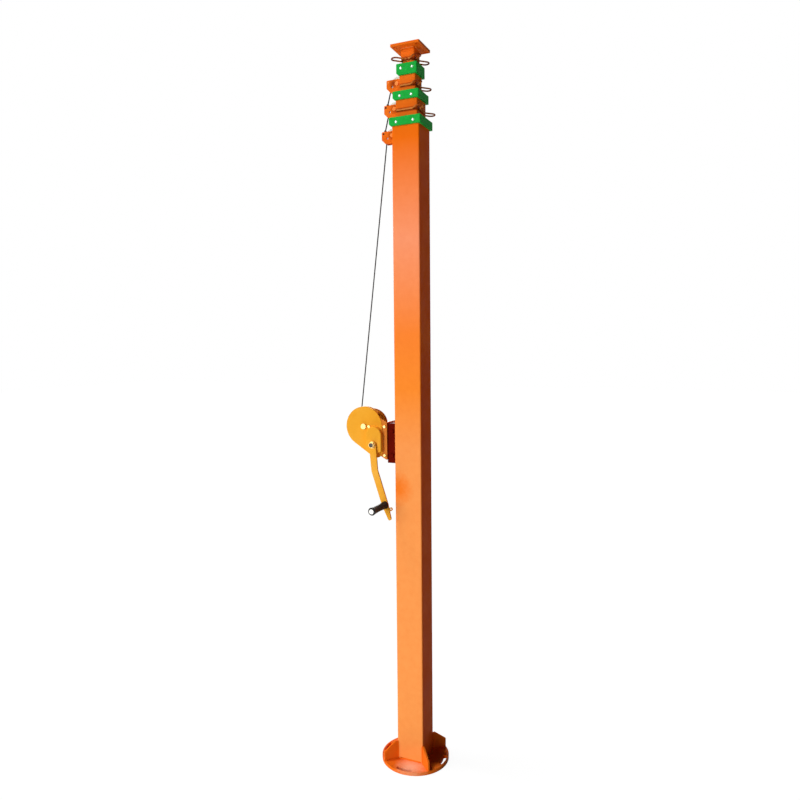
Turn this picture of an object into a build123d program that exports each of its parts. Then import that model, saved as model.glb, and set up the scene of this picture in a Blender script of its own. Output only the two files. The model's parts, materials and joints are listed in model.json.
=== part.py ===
"""Telescopic lifting pole: four square tubes, one inside the other, raised by a hand winch.

Millimetres, +Z up. The origin is the centre of the base flange's underside. The winch, the
pulleys and the wire ropes are on the -X side of the mast, and the crank turns in front, at -Y.
Each rope passes over a pulley at the top of one tube and down inside it to the foot of the next,
so all the stages rise together.
"""
from build123d import *

import os
from math import acos, asin, atan2, cos, degrees, hypot, pi, radians, sin, sqrt, tan

# Mast tubes
tube_size = 100.0
tube_step = 20.0
tube_wall = 3.0
tube_corner = 5.0
corner_ease = 0.5
slide_gap = 0.3

# Base
flange_radius = 122.0
flange_thick = 12.0
slot_radius = 110.0
slot_angle = 24.0
slot_width = 13.0
gusset_thick = 6.0
gusset_height = 64.0
gusset_flat = 8.0
gusset_end_height = 32.0
gusset_reach = 121.0

# Guide collars at the tops of the three outer tubes
outer_collar_z = 2251.0
stage_2_rise = 87.0
stage_3_rise = 83.0
collar_depth = 28.0
top_collar_depth = 37.0
collar_lip = 10.0
collar_wall = 8.0
collar_corner = 4.0
collar_edge = 1.5
collar_chamfer = 7.0
collar_notch_height = 9.0
collar_screw_rise = 11.0
top_collar_screw_rise = 21.0
outer_screw_spacing = 62.0
stage_2_screw_spacing = 42.0
stage_3_screw_spacing = 41.0
screw_radius = 3.0
screw_head_radius = 5.0
screw_head_height = 3.0
fit_gap = 0.05

# Guide shoes at the feet of the three inner tubes
shoe_height = 40.0
shoe_rise = 2.0
ferrule_pocket = 18.0
ferrule_width = 10.0
ferrule_thick = 6.0
ferrule_height = 14.0

# Wire rope and pulleys
rope_radius = 2.25
rope_room = 0.35
sheave_pitch_radius = 22.5
sheave_lip = 2.0
sheave_width = 12.0
sheave_hub_radius = 9.0
sheave_web_radius = 17.0
sheave_recess = 2.5
sheave_drop = 17.0
sheave_side_gap = 0.5
slot_room = 1.5
axle_radius = 4.0
axle_head_radius = 7.0
axle_head_height = 4.5

# Pulley brackets
cheek_thick = 4.0
bracket_reach = 55.5
bracket_drop = 43.5
bracket_chamfer = 14.0
bracket_corner = 4.0
bracket_collar_gap = 2.0
keeper_hole_radius = 4.0
keeper_reach = 34.5
keeper_drop = 8.0
anchor_reach = 49.0
anchor_drop = 9.0
anchor_pin_radius = 3.0
socket_radius = 4.5
socket_below = 6.0
socket_above = 14.0

# Guy eyes
eye_rod_radius = 2.5
eye_inner_width = 22.0
eye_reach = 24.5
eye_bend_radius = 10.0
eye_drop = 34.0
eye_leg_gap = 2.0
weld_gap = 0.05

# Head
head_size = 50.0
head_gap = 12.0
head_height = 41.0
head_eye_rise = 4.0
plate_size = 105.0
plate_thick = 8.0
plate_corner = 3.0
plate_hole_radius = 5.5
plate_hole_spacing = 80.0

# Winch mount, a box welded to the outer tube
mount_depth = 34.0
mount_width = 70.0
mount_drop = 128.0
mount_height = 141.0
mount_wall = 4.0
mount_bolt_inset = 27.0

# Winch frame
drum_out = 123.0
drum_z = 1222.0
frame_plate = 3.5
frame_web = 4.0
frame_drop = 116.0
frame_height = 133.0
frame_rear_cut = 7.0
frame_radius = 58.0
frame_front_gap = 2.0
frame_rear_gap = 2.0
web_bolt_y = 22.0
web_bolt_rise = 39.0
web_bolt_spacing = 55.0
bolt_radius = 4.0
bolt_head_across = 13.0
bolt_head_height = 5.5
nut_height = 6.5
tie_bolt_radius = 3.0
tie_bolt_across = 10.0
tie_bolt_in = 1.0
tie_bolt_end = 15.0
hex_chamfer = 0.07

# Winch drum and gears
drum_inner_width = 56.0
drum_flange_radius = 55.0
drum_flange_thick = 2.5
winding_radius = 37.0
winding_pitch = 5.0
winding_loops = 5
clamp_length = 10.0
drum_axle_radius = 7.0
drum_nut_across = 19.0
drum_head_height = 7.0
gear_module = 2.75
gear_teeth = 44
pinion_teeth = 11
gear_addendum = 0.9
gear_dedendum = 1.2
gear_width = 8.0
pressure_angle = 25.0
tooth_backlash = 0.4
gear_turn = -54.9
shaft_radius = 8.0

# Winch covers
cover_radius = 71.0
cover_foot_radius = 27.0
cover_foot_drop = 84.0
cover_foot_shift = 3.5
cover_thick = 2.5
cover_lip = 17.5
cover_lip_end = 50.0
brake_left = 27.5
brake_right = 30.5
brake_rise = 63.0
brake_drop = 28.0
brake_corner_left = 24.0
brake_corner_right = 30.0
brake_corner_low = 8.0
brake_depth = 16.0
brake_edge = 4.0
cover_screw_out = 20.0

# Brake ratchet and pawl, inside the brake cover
ratchet_teeth = 12
ratchet_tip = 20.0
ratchet_root = 16.0
ratchet_width = 5.0
ratchet_gap = 2.0
pawl_out = 17.0
pawl_up = 27.0
pawl_radius = 4.5
pawl_pin_radius = 2.5
pawl_tip_radius = 1.0
pawl_gap = 1.0

# Crank and grip
arm_gap = 2.0
arm_thick = 6.0
arm_hub_radius = 13.0
arm_half_width = 12.0
arm_tip_radius = 6.0
arm_bend = (8.0, -92.0)
arm_grip = (47.5, -212.0)
arm_tip = (64.5, -260.0)
arm_eyelet = (69.0, -226.0)
arm_eyelet_radius = 6.5
arm_eyelet_bore = 3.5
crank_nut_across = 19.0
crank_nut_height = 8.0
crank_washer_radius = 12.0
crank_washer_thick = 2.0
grip_length = 104.0
grip_radius = 11.5
grip_flare = 2.3
grip_gap = 2.0
grip_bore_gap = 0.08
spindle_radius = 5.0
spindle_cap_radius = 8.5
spindle_cap_height = 4.0


def size(stage):
    """Outside width of the tube of a stage; stage 1 is the outer tube."""
    return tube_size - (stage - 1) * tube_step


def half(stage):
    return size(stage) / 2


collar_z = {1: outer_collar_z, 2: outer_collar_z + stage_2_rise, 3: outer_collar_z + stage_2_rise + stage_3_rise}
collar_height = {1: collar_depth, 2: collar_depth, 3: top_collar_depth}
collar_screw_z = {1: collar_screw_rise, 2: collar_screw_rise, 3: top_collar_screw_rise}
collar_screw_spacing = {1: outer_screw_spacing, 2: stage_2_screw_spacing, 3: stage_3_screw_spacing}
rope_space = tube_step / 2 - tube_wall
head_z = collar_z[3] + collar_height[3] + head_gap
plate_z = head_z + head_height
rope_bore = rope_radius + rope_room


def rope_line(stage):
    """X of the rope inside a tube, halfway between its wall and the next tube."""
    return -(half(stage) - tube_wall - rope_space / 2)


def sheave_centre(stage):
    """Centre (x, z) of the pulley at the top of a stage."""
    return rope_line(stage) - sheave_pitch_radius, collar_z[stage] - sheave_drop


def anchor_point(stage):
    """Pin (x, z) on a stage's bracket that holds the start of the next rope."""
    return -half(stage) - anchor_reach, collar_z[stage] - anchor_drop


drum_x = -half(1) - drum_out
mount_bottom = drum_z - mount_drop
frame_bottom = drum_z - frame_drop
web_bolt_low = frame_bottom + web_bolt_rise
web_bolt_high = web_bolt_low + web_bolt_spacing
gear_pitch_radius = gear_module * gear_teeth / 2
pinion_pitch_radius = gear_module * pinion_teeth / 2
centre_distance = gear_pitch_radius + pinion_pitch_radius
crank_x = drum_x + centre_distance * cos(radians(gear_turn))
crank_z = drum_z + centre_distance * sin(radians(gear_turn))

# Winch planes from the front (-Y) to the back
drum_half = drum_inner_width / 2
gear_front = -drum_half - gear_width
plate_front_in = gear_front - frame_front_gap
plate_front_out = plate_front_in - frame_plate
plate_rear_in = drum_half + drum_flange_thick + frame_rear_gap
plate_rear_out = plate_rear_in + frame_plate
cover_front = plate_front_out - cover_thick
brake_front = cover_front - brake_depth
arm_back = brake_front - arm_gap
arm_front = arm_back - arm_thick
mount_x = -half(1) - mount_depth
web_x = mount_x - frame_web


def square(width, radius, bottom, top):
    """Upright bar of square section with rounded corners."""
    return Pos(0, 0, bottom) * extrude(RectangleRounded(width, width, radius), top - bottom)


def slab(outline, front, back):
    """Plate cut to an outline drawn in X and Z, between two values of Y."""
    return extrude(Plane.XZ.offset(-back) * outline, back - front)


def rod_y(x, z, radius, front, back):
    """Round bar along Y."""
    return slab(Pos(x, z) * Circle(radius), front, back)


def hexagon(across, height):
    """Hexagon head or nut on Z = 0, with its corners cut back at both ends."""
    blank = extrude(Circle(across / sqrt(3)), height)
    blank = chamfer(blank.edges().filter_by(GeomType.CIRCLE), hex_chamfer * across)
    return blank & extrude(RegularPolygon(across / 2, 6, major_radius=False), height)


def hex_y(x, z, across, front, back):
    """Hexagon head or nut along Y."""
    return Pos(x, back, z) * Rot(90, 0, 0) * hexagon(across, back - front)


def disc_hull(x1, z1, r1, x2, z2, r2):
    """Outline round two circles and the two lines that touch both."""
    gap = hypot(x2 - x1, z2 - z1)
    line = atan2(z2 - z1, x2 - x1)
    lean = acos((r1 - r2) / gap)
    ends = []
    for side in (lean, -lean):
        turn = line + side
        ends.append(((x1 + r1 * cos(turn), z1 + r1 * sin(turn)), (x2 + r2 * cos(turn), z2 + r2 * sin(turn))))
    web = make_face(Polyline(ends[0][0], ends[0][1], ends[1][1], ends[1][0], close=True))
    return web + Pos(x1, z1) * Circle(r1) + Pos(x2, z2) * Circle(r2)


def rope_along(path):
    """Wire rope swept along a path of straight runs and tangent arcs."""
    start = Plane(origin=path @ 0, z_dir=path % 0)
    return sweep(start * Circle(rope_radius), path=path)


def save(name, *solids):
    export_step(Compound(children=list(solids)) if len(solids) > 1 else solids[0], f"parts/{name}.step")


def tube(stage):
    """Square hollow section, with a slot for the pulley in the -X wall of the first three."""
    top = plate_z if stage == 4 else collar_z[stage] + collar_height[stage] - collar_lip
    body = square(size(stage), tube_corner, flange_thick, top)
    body -= square(size(stage) - 2 * tube_wall, tube_corner - tube_wall, flange_thick, top)
    if stage < 4:
        x, z = sheave_centre(stage)
        reach = sheave_pitch_radius + max(sheave_lip, rope_radius)
        rise = sqrt(reach**2 - (half(stage) + x) ** 2) + slot_room
        wide = sheave_width + 2 * sheave_side_gap
        body -= Pos(-half(stage) + tube_wall / 2, 0, z) * Box(tube_wall * 2, wide, 2 * rise)
        for x in (-collar_screw_spacing[stage] / 2, collar_screw_spacing[stage] / 2):
            hole_z = collar_z[stage] + collar_screw_z[stage]
            body -= rod_y(x, hole_z, screw_radius, -half(stage), half(stage))
    return body


def collar(stage):
    """Nylon collar that caps a tube and guides the next one."""
    z = collar_z[stage]
    top = z + collar_height[stage]
    seat = top - collar_lip
    wide = size(stage) + 2 * collar_wall
    body = square(wide, collar_corner, z, top)
    body = chamfer(body.edges().group_by(Axis.Z)[-1], collar_edge)
    body -= square(size(stage), tube_corner - corner_ease, z, seat)
    body -= square(size(stage + 1) + 2 * slide_gap, tube_corner + slide_gap, seat, top)
    low = make_face(Polyline((0, 0), (collar_chamfer, 0), (0, collar_chamfer), close=True))
    body -= slab(Pos(-wide / 2, z) * low, -wide / 2, wide / 2)
    notch = sheave_width + 2 * sheave_side_gap + 2 * slot_room
    body -= Pos(-wide / 2, 0, z) * Box(2 * collar_wall, notch, 2 * collar_notch_height)
    for x in (-collar_screw_spacing[stage] / 2, collar_screw_spacing[stage] / 2):
        body -= rod_y(x, z + collar_screw_z[stage], screw_radius, -wide / 2, wide / 2)
    return body


def collar_screws(stage):
    """Domed screws through the front and back of a collar into the tube wall."""
    face = half(stage) + collar_wall
    shank = collar_wall + tube_wall
    profile = Polyline((0, -shank), (screw_radius - fit_gap, -shank), (screw_radius - fit_gap, 0),
                       (screw_head_radius, 0))
    dome = (screw_head_radius**2 + screw_head_height**2) / (2 * screw_head_height)
    rise = asin(screw_head_radius / dome) / 2
    top = ThreePointArc(
        (screw_head_radius, 0),
        (dome * sin(rise), screw_head_height - dome + dome * cos(rise)),
        (0, screw_head_height),
    )
    blank = revolve(make_face(profile + top + Line((0, screw_head_height), (0, -shank))), Axis.Y)
    out = []
    for turn in (0, 180):
        for x in (-collar_screw_spacing[stage] / 2, collar_screw_spacing[stage] / 2):
            out.append(Rot(0, 0, turn) * Pos(x, face, collar_z[stage] + collar_screw_z[stage]) * blank)
    return out


def bracket(stage):
    """Two cheek plates welded to the tube, one each side of the pulley."""
    face = -half(stage)
    far = face - bracket_reach
    low = collar_z[stage] - bracket_drop
    top = collar_z[stage] - bracket_collar_gap
    outline = make_face(
        Polyline((face, low), (far + bracket_chamfer, low), (far, low + bracket_chamfer), (far, top),
                 (face, top), close=True)
    )
    outer = outline.vertices().filter_by(lambda v: v.X < face - bracket_corner)
    outline = fillet(outer, bracket_corner)
    x, axle_z = sheave_centre(stage)
    outline -= Pos(x, axle_z) * Circle(axle_radius + fit_gap)
    outline -= Pos(face - keeper_reach, axle_z - keeper_drop) * Circle(keeper_hole_radius)
    outline -= Pos(*anchor_point(stage)) * Circle(anchor_pin_radius + fit_gap)
    inner = sheave_width / 2 + sheave_side_gap
    return [slab(outline, -inner - cheek_thick, -inner), slab(outline, inner, inner + cheek_thick)]


cheek_face = sheave_width / 2 + sheave_side_gap + cheek_thick


def anchor_pin(stage):
    """Cross pin at the outer end of a bracket."""
    return rod_y(*anchor_point(stage), anchor_pin_radius, -cheek_face - fit_gap, cheek_face + fit_gap)


def sheave_axle(stage):
    """Bolt that the pulley turns on, with its nut at the back, and the top bracket's free pin."""
    x, z = sheave_centre(stage)
    bolt = rod_y(x, z, axle_head_radius, -cheek_face - axle_head_height, -cheek_face)
    bolt = fillet(bolt.edges().group_by(Axis.Y)[0], axle_head_height / 3)
    bolt += rod_y(x, z, axle_radius, -cheek_face, cheek_face + nut_height)
    nut = hex_y(x, z, bolt_head_across, cheek_face, cheek_face + nut_height)
    nut -= rod_y(x, z, axle_radius + fit_gap, cheek_face, cheek_face + nut_height)
    return [bolt, nut] if stage < 3 else [bolt, nut, anchor_pin(stage)]


def sheave(stage):
    """Grooved pulley with a hub and a thinner web."""
    rim = sheave_pitch_radius + sheave_lip
    bore = axle_radius + fit_gap
    profile = Pos((bore + rim) / 2, 0) * Rectangle(rim - bore, sheave_width)
    web = Pos((sheave_hub_radius + sheave_web_radius) / 2, 0)
    for side in (-1, 1):
        edge = side * (sheave_width - sheave_recess) / 2
        profile -= web * Pos(0, edge) * Rectangle(sheave_web_radius - sheave_hub_radius, sheave_recess)
    profile -= Pos(sheave_pitch_radius, 0) * Circle(rope_bore)
    profile -= Pos(sheave_pitch_radius + sheave_lip, 0) * Rectangle(2 * sheave_lip, 2 * rope_bore)
    x, z = sheave_centre(stage)
    return Pos(x, 0, z) * revolve(profile, Axis.Y)


def tangent_run(stage):
    """Start pin, direction and end (x, z) of the rope that rises to a stage's pulley."""
    x, z = sheave_centre(stage)
    pin_x, pin_z = anchor_point(stage - 1)
    gap = hypot(x - pin_x, z - pin_z)
    turn = atan2(z - pin_z, x - pin_x) + asin(sheave_pitch_radius / gap)
    run = sqrt(gap**2 - sheave_pitch_radius**2)
    end = pin_x + run * cos(turn), pin_z + run * sin(turn)
    return (pin_x, pin_z), (cos(turn), sin(turn)), end


def winch_run():
    """Ends (x, z) of the rope from the outside of the winding to the first pulley."""
    x, z = sheave_centre(1)
    gap = hypot(x - drum_x, z - drum_z)
    turn = atan2(z - drum_z, x - drum_x) - asin((winding_radius - sheave_pitch_radius) / gap)
    side = -sin(turn), cos(turn)
    start = drum_x + winding_radius * side[0], drum_z + winding_radius * side[1]
    end = x + sheave_pitch_radius * side[0], z + sheave_pitch_radius * side[1]
    return start, end


def rope_wrap(stage, start):
    """Rope over a pulley, from where it arrives outside to where it goes down inside."""
    x, z = sheave_centre(stage)
    first = degrees(atan2(start[1] - z, start[0] - x))
    arc = Plane.XZ * CenterArc((x, z), sheave_pitch_radius, first, -first)
    return rope_along(arc)


def rope_inside(stage):
    """Rope down the gap inside a tube, to the foot of the next one."""
    x, top = rope_line(stage), sheave_centre(stage)[1]
    foot = flange_thick + shoe_rise + ferrule_pocket
    return Pos(x, 0, foot) * extrude(Circle(rope_radius), top - foot)


def rope_socket(stage):
    """Swaged socket on a cross pin, which holds the rope that rises to a stage's pulley."""
    (x, z), (ux, uz), _ = tangent_run(stage)
    base = Plane(origin=(x - socket_below * ux, 0, z - socket_below * uz), z_dir=(ux, 0, uz))
    socket = extrude(base * Circle(socket_radius), socket_below + socket_above)
    socket -= rod_y(x, z, anchor_pin_radius + fit_gap, -socket_radius, socket_radius)
    return [anchor_pin(stage - 1), socket]


def rope_outside(stage):
    """Taut rope from its socket up to a stage's pulley."""
    (x, z), (ux, uz), end = tangent_run(stage)
    start = x + socket_above * ux, z + socket_above * uz
    return rope_along(Line((start[0], 0, start[1]), (end[0], 0, end[1])))


def shoe(stage):
    """Nylon shoe round a tube's foot, with a pocket that holds the end of the lifting rope."""
    bottom = flange_thick + shoe_rise
    wide = size(stage - 1) - 2 * tube_wall - 2 * slide_gap
    body = square(wide, tube_corner - tube_wall + corner_ease, bottom, bottom + shoe_height)
    body -= square(size(stage), tube_corner - corner_ease, bottom, bottom + shoe_height)
    gap = rope_space + 2 * fit_gap
    x = rope_line(stage - 1)
    body -= Pos(x, 0, bottom + ferrule_pocket / 2) * Box(gap, ferrule_width + 2 * fit_gap, ferrule_pocket)
    body -= Pos(x, 0, bottom + shoe_height / 2) * Box(gap, 2 * rope_bore, shoe_height)
    return body


def ferrule(stage):
    """Pressed sleeve on the rope's end, under the shoe's ledge."""
    top = flange_thick + shoe_rise + ferrule_pocket
    oval = SlotOverall(ferrule_width, ferrule_thick, rotation=90)
    return Pos(rope_line(stage - 1), 0, top - ferrule_height) * extrude(oval, ferrule_height)


def guy_eyes(reach, z, legs):
    """Rods bent to loops on the corners' diagonals, each with its turn and where its two legs end."""
    line = reach + eye_rod_radius + weld_gap
    bend = eye_inner_width / 2 + eye_rod_radius
    root = line - bend * sqrt(2)
    out = (reach + eye_reach) * sqrt(2) - eye_rod_radius - bend
    step = bend / sqrt(2)
    mid = out / sqrt(2)
    tip = (out + bend) / sqrt(2)
    eyes = []
    for turn, first, last in legs:
        leg_in = FilletPolyline(
            (line, first), (line, root), (mid + step, mid - step), radius=eye_bend_radius
        )
        loop = ThreePointArc((mid + step, mid - step), (tip, tip), (mid - step, mid + step))
        leg_out = FilletPolyline(
            (mid - step, mid + step), (root, line), (last, line), radius=eye_bend_radius
        )
        path = Wire(leg_in.edges() + [loop.edge()] + leg_out.edges())
        start = Plane(origin=path @ 0, z_dir=path % 0)
        bar = sweep(start * Circle(eye_rod_radius), path=path)
        eyes.append(Pos(0, 0, z) * Rot(0, 0, turn) * bar)
    return eyes


def stage_eyes(stage):
    """Two guy eyes on the side away from the pulley, with long legs along the front and the back."""
    far = tube_corner - half(stage)
    legs = (0, eye_leg_gap, far), (270, far, eye_leg_gap)
    return guy_eyes(half(stage), collar_z[stage] - eye_drop, legs)


def head_eyes():
    """Guy eyes at the head's four corners."""
    legs = [(turn, eye_leg_gap, eye_leg_gap) for turn in (0, 90, 180, 270)]
    return guy_eyes(head_size / 2, head_z + head_eye_rise, legs)


def base_flange():
    """Round foot plate with four curved bolt slots."""
    plate = Circle(flange_radius)
    for turn in (0, 90, 180, 270):
        arc = CenterArc((0, 0), slot_radius, turn - slot_angle / 2, slot_angle)
        plate -= SlotArc(arc, slot_width)
    return extrude(plate, flange_thick)


def base_gussets():
    """Plates that brace the corners of the outer tube on the flange."""
    tip = flange_thick + gusset_end_height
    top = flange_thick + gusset_height
    outline = make_face(
        Polyline((half(1), flange_thick), (gusset_reach, flange_thick), (gusset_reach, tip),
                 (half(1) * sqrt(2) + gusset_flat, top), (half(1), top), close=True)
    )
    plate = slab(outline, -gusset_thick / 2, gusset_thick / 2)
    seat = square(size(1) + 2 * weld_gap, tube_corner + weld_gap, flange_thick, top)
    return [Rot(0, 0, turn) * plate - seat for turn in (45, 135, 225, 315)]


def hex_bolt(grip):
    """Hexagon bolt and nut along Z, with the face under the head at Z = 0 and the head above it."""
    shank = Pos(0, 0, -grip - nut_height) * extrude(Circle(bolt_radius), grip + nut_height)
    nut = hexagon(bolt_head_across, nut_height) - extrude(Circle(bolt_radius + fit_gap), nut_height)
    return [hexagon(bolt_head_across, bolt_head_height) + shank, Pos(0, 0, -grip - nut_height) * nut]


def winch_mount():
    """Box open below, welded to the tube's -X face, with two painted bolts in its front wall."""
    top = mount_bottom + mount_height
    middle = -half(1) - mount_depth / 2
    front = -mount_width / 2
    body = Pos(middle, 0, mount_bottom + mount_height / 2) * Box(mount_depth, mount_width, mount_height)
    deep = mount_height - mount_wall
    inner = Box(mount_depth - 2 * mount_wall, mount_width - 2 * mount_wall, deep)
    body -= Pos(middle, 0, mount_bottom + deep / 2) * inner
    hole = Rot(0, 90, 0) * Cylinder(bolt_radius + fit_gap, 2 * mount_wall)
    for y in (-web_bolt_y, web_bolt_y):
        for z in (web_bolt_low, web_bolt_high):
            body -= Pos(mount_x + mount_wall / 2, y, z) * hole
    bolts = []
    for z in (mount_bottom + mount_bolt_inset, top - mount_bolt_inset):
        body -= rod_y(middle, z, bolt_radius + fit_gap, front, front + mount_wall)
        bolts += [Pos(middle, front, z) * Rot(90, 0, 0) * piece for piece in hex_bolt(mount_wall)]
    return [body] + bolts


def winch_bolts():
    """Four hexagon bolts and nuts that hold the frame's web on the mount."""
    out = []
    for y in (-web_bolt_y, web_bolt_y):
        for z in (web_bolt_low, web_bolt_high):
            out += [Pos(web_x, y, z) * Rot(0, -90, 0) * piece for piece in hex_bolt(frame_web + mount_wall)]
    return out


tie_bolt_x = web_x - tie_bolt_radius - tie_bolt_in
tie_bolt_z = (frame_bottom + tie_bolt_end, frame_bottom + frame_height - tie_bolt_end)


def winch_frame():
    """Plate bent to a U: a web on the mount and two cheeks that carry the drum and the shaft."""
    middle = frame_bottom + frame_height / 2
    disc = Pos(drum_x, drum_z) * Circle(frame_radius)
    corner = Pos(mount_x - frame_web / 2, middle) * Rectangle(frame_web, frame_height)
    cheek = make_hull(disc.edges() + corner.edges())
    cheek -= Pos(drum_x, drum_z) * Circle(drum_axle_radius + fit_gap)
    cheek -= Pos(crank_x, crank_z) * Circle(shaft_radius + fit_gap)
    for z in tie_bolt_z:
        cheek -= Pos(tie_bolt_x, z) * Circle(tie_bolt_radius + fit_gap)
    front = cheek - Pos(*cover_screw) * Circle(screw_radius)
    rear_top = frame_bottom + frame_height - frame_rear_cut
    notch = Pos(mount_x - drum_out / 2, rear_top + frame_radius) * Rectangle(drum_out, 2 * frame_radius)
    rear = cheek - (notch - disc)
    body = slab(front, plate_front_out, plate_front_in) + slab(rear, plate_rear_in, plate_rear_out)
    web = Pos(web_x + frame_web / 2, (plate_rear_in + plate_front_out) / 2, middle) * Box(
        frame_web, plate_rear_in - plate_front_out, frame_height
    )
    hole = Rot(0, 90, 0) * Cylinder(bolt_radius + fit_gap, 2 * frame_web)
    for y in (-web_bolt_y, web_bolt_y):
        for z in (web_bolt_low, web_bolt_high):
            web -= Pos(web_x + frame_web / 2, y, z) * hole
    pin = rod_y(crank_x - pawl_out, crank_z + pawl_up, pawl_pin_radius, pawl_front, plate_front_out)
    return body + web + pin


cover_screw = (drum_x + cover_screw_out, drum_z)
pawl_back = plate_front_out - ratchet_gap
pawl_front = pawl_back - ratchet_width
cover_foot = (drum_x + cover_radius - cover_foot_radius + cover_foot_shift, drum_z - cover_foot_drop)


def brake_outline(inset):
    """Brake cover's outline, with a corner of its own size at each upper side, moved in by an inset."""
    left, right = crank_x - brake_left, crank_x + brake_right
    top, low = crank_z + brake_rise, crank_z - brake_drop
    rounds = []
    for x, side, z, level, radius in (
        (left, 1, top, -1, brake_corner_left),
        (right, -1, top, -1, brake_corner_right),
        (left, 1, low, 1, brake_corner_low),
        (right, -1, low, 1, brake_corner_low),
    ):
        rounds += (Pos(x + side * radius, z + level * radius) * Circle(radius - inset)).edges()
    return make_hull(rounds)


def gear_cover():
    """Drop-shaped dish over the gear, with a lip round its outer side."""
    def outline(inset):
        foot = cover_foot_radius - inset
        return disc_hull(drum_x, drum_z, cover_radius - inset, *cover_foot, foot)

    body = slab(outline(0), cover_front, plate_front_out)
    lip = slab(outline(0) - outline(cover_thick), plate_front_out, plate_front_out + cover_lip)
    limit = drum_x + cover_lip_end
    tall = 4 * cover_radius
    lip &= Pos(limit - tall / 2, plate_front_out + cover_lip / 2, drum_z) * Box(tall, 2 * cover_lip, tall)
    body += lip
    body = fillet(body.faces().sort_by(Axis.Y)[0].outer_wire().edges(), cover_thick / 2)
    body -= rod_y(drum_x, drum_z, drum_axle_radius + fit_gap, cover_front, plate_front_out)
    body -= slab(brake_outline(cover_thick), cover_front, plate_front_out)
    return body - rod_y(*cover_screw, screw_radius, cover_front, plate_front_out)


def brake_cover():
    """Raised cover over the brake, with a hole for the crank shaft."""
    body = slab(brake_outline(0), brake_front, cover_front)
    body = fillet(body.faces().sort_by(Axis.Y)[0].edges(), brake_edge)
    body -= slab(brake_outline(cover_thick), brake_front + cover_thick, cover_front)
    return body - rod_y(crank_x, crank_z, shaft_radius + rope_room, brake_front, cover_front)


def cover_bolts():
    """Two long bolts that tie the frame's cheeks, and a short screw on the gear cover."""
    screw = rod_y(*cover_screw, screw_head_radius, cover_front - screw_head_height, cover_front)
    screw += rod_y(*cover_screw, screw_radius - fit_gap, cover_front, plate_front_in)
    out = [screw]
    for z in tie_bolt_z:
        bolt = hex_y(tie_bolt_x, z, tie_bolt_across, plate_front_out - bolt_head_height, plate_front_out)
        bolt += rod_y(tie_bolt_x, z, tie_bolt_radius, plate_front_out, plate_rear_out + nut_height)
        nut = hex_y(tie_bolt_x, z, tie_bolt_across, plate_rear_out, plate_rear_out + nut_height)
        nut -= rod_y(tie_bolt_x, z, tie_bolt_radius + fit_gap, plate_rear_out, plate_rear_out + nut_height)
        out += [bolt, nut]
    return out


def drum_axle():
    """Bolt through the covers, the cheeks and the drum, with its nut behind."""
    head = hex_y(drum_x, drum_z, drum_nut_across, cover_front - drum_head_height, cover_front)
    bolt = head + rod_y(drum_x, drum_z, drum_axle_radius, cover_front, plate_rear_out + drum_head_height)
    nut = hex_y(drum_x, drum_z, drum_nut_across, plate_rear_out, plate_rear_out + drum_head_height)
    nut -= rod_y(drum_x, drum_z, drum_axle_radius + fit_gap, plate_rear_out, plate_rear_out + drum_head_height)
    return [bolt, nut]


winding_start, winding_end = winch_run()
barrel_radius = winding_radius - rope_radius - rope_room
winding_turn = atan2(winding_start[1] - drum_z, winding_start[0] - drum_x)


def winding_point(loops):
    """Point on the winding, counted in loops back from where the rope leaves the drum."""
    turn = winding_turn + 2 * pi * loops
    x = drum_x + winding_radius * cos(turn)
    return Vector(x, winding_pitch * loops, drum_z + winding_radius * sin(turn))


def winding_way(loops):
    """Unit direction along the winding, square to the drum's axis where the rope leaves it."""
    turn = winding_turn + 2 * pi * loops
    around = 2 * pi * winding_radius
    slope = winding_pitch if loops else 0
    return Vector(-around * sin(turn), slope, around * cos(turn)).normalized()


def biarc(start, start_way, end, end_way):
    """Two tangent arcs between two points with given directions."""
    chord = end - start
    both = start_way + end_way
    a = 2 * (1 - start_way.dot(end_way))
    b = 2 * chord.dot(both)
    reach = (-b + sqrt(b**2 + 4 * a * chord.dot(chord))) / (2 * a)
    middle = (start + start_way * reach + end - end_way * reach) * 0.5
    middle_way = (end - end_way * reach - start - start_way * reach).normalized()
    return [
        Edge.make_tangent_arc(start, start_way, middle),
        Edge.make_tangent_arc(middle, middle_way, end),
    ]


def winding_path():
    """Line of the rope on the drum, from where it leaves to the clamp at the back flange."""
    quarters = 4 * winding_loops
    edges = []
    for k in range(quarters):
        first, last = k / 4, (k + 1) / 4
        edges += biarc(winding_point(first), winding_way(first), winding_point(last), winding_way(last))
    tail = winding_point(winding_loops)
    edges.append(Edge.make_line(tail, tail + winding_way(winding_loops) * 2 * rope_radius))
    return Wire(edges)


def winding_least_gap(path):
    """Least clear space between one loop of the winding and the next."""
    per_loop = 96
    count = winding_loops * per_loop
    points = [path @ (k / count) for k in range(count + 1)]
    apart = [
        (points[i] - points[j]).length
        for i in range(0, len(points), 4)
        for j in range(i + per_loop // 2, len(points))
    ]
    return min(apart) - 2 * rope_radius


def winch_drum():
    """Barrel with a back flange and the clamp that holds the rope's end."""
    barrel = Circle(barrel_radius) - Circle(drum_axle_radius + fit_gap)
    body = slab(Pos(drum_x, drum_z) * barrel, -drum_half, drum_half)
    flange = Circle(drum_flange_radius) - Circle(drum_axle_radius + fit_gap)
    body += slab(Pos(drum_x, drum_z) * flange, drum_half, drum_half + drum_flange_thick)
    way = winding_way(winding_loops)
    end = winding_point(winding_loops) + way * 2 * rope_radius
    out = Vector(end.X - drum_x, 0, end.Z - drum_z).normalized()
    wide = drum_half - end.Y + rope_radius
    tall = 2 * (winding_radius - barrel_radius)
    middle = end + way.cross(out) * (wide / 2 - rope_radius)
    clamp = extrude(Plane(origin=middle, x_dir=out, z_dir=way) * Rectangle(tall, wide), clamp_length)
    return body + clamp


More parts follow.
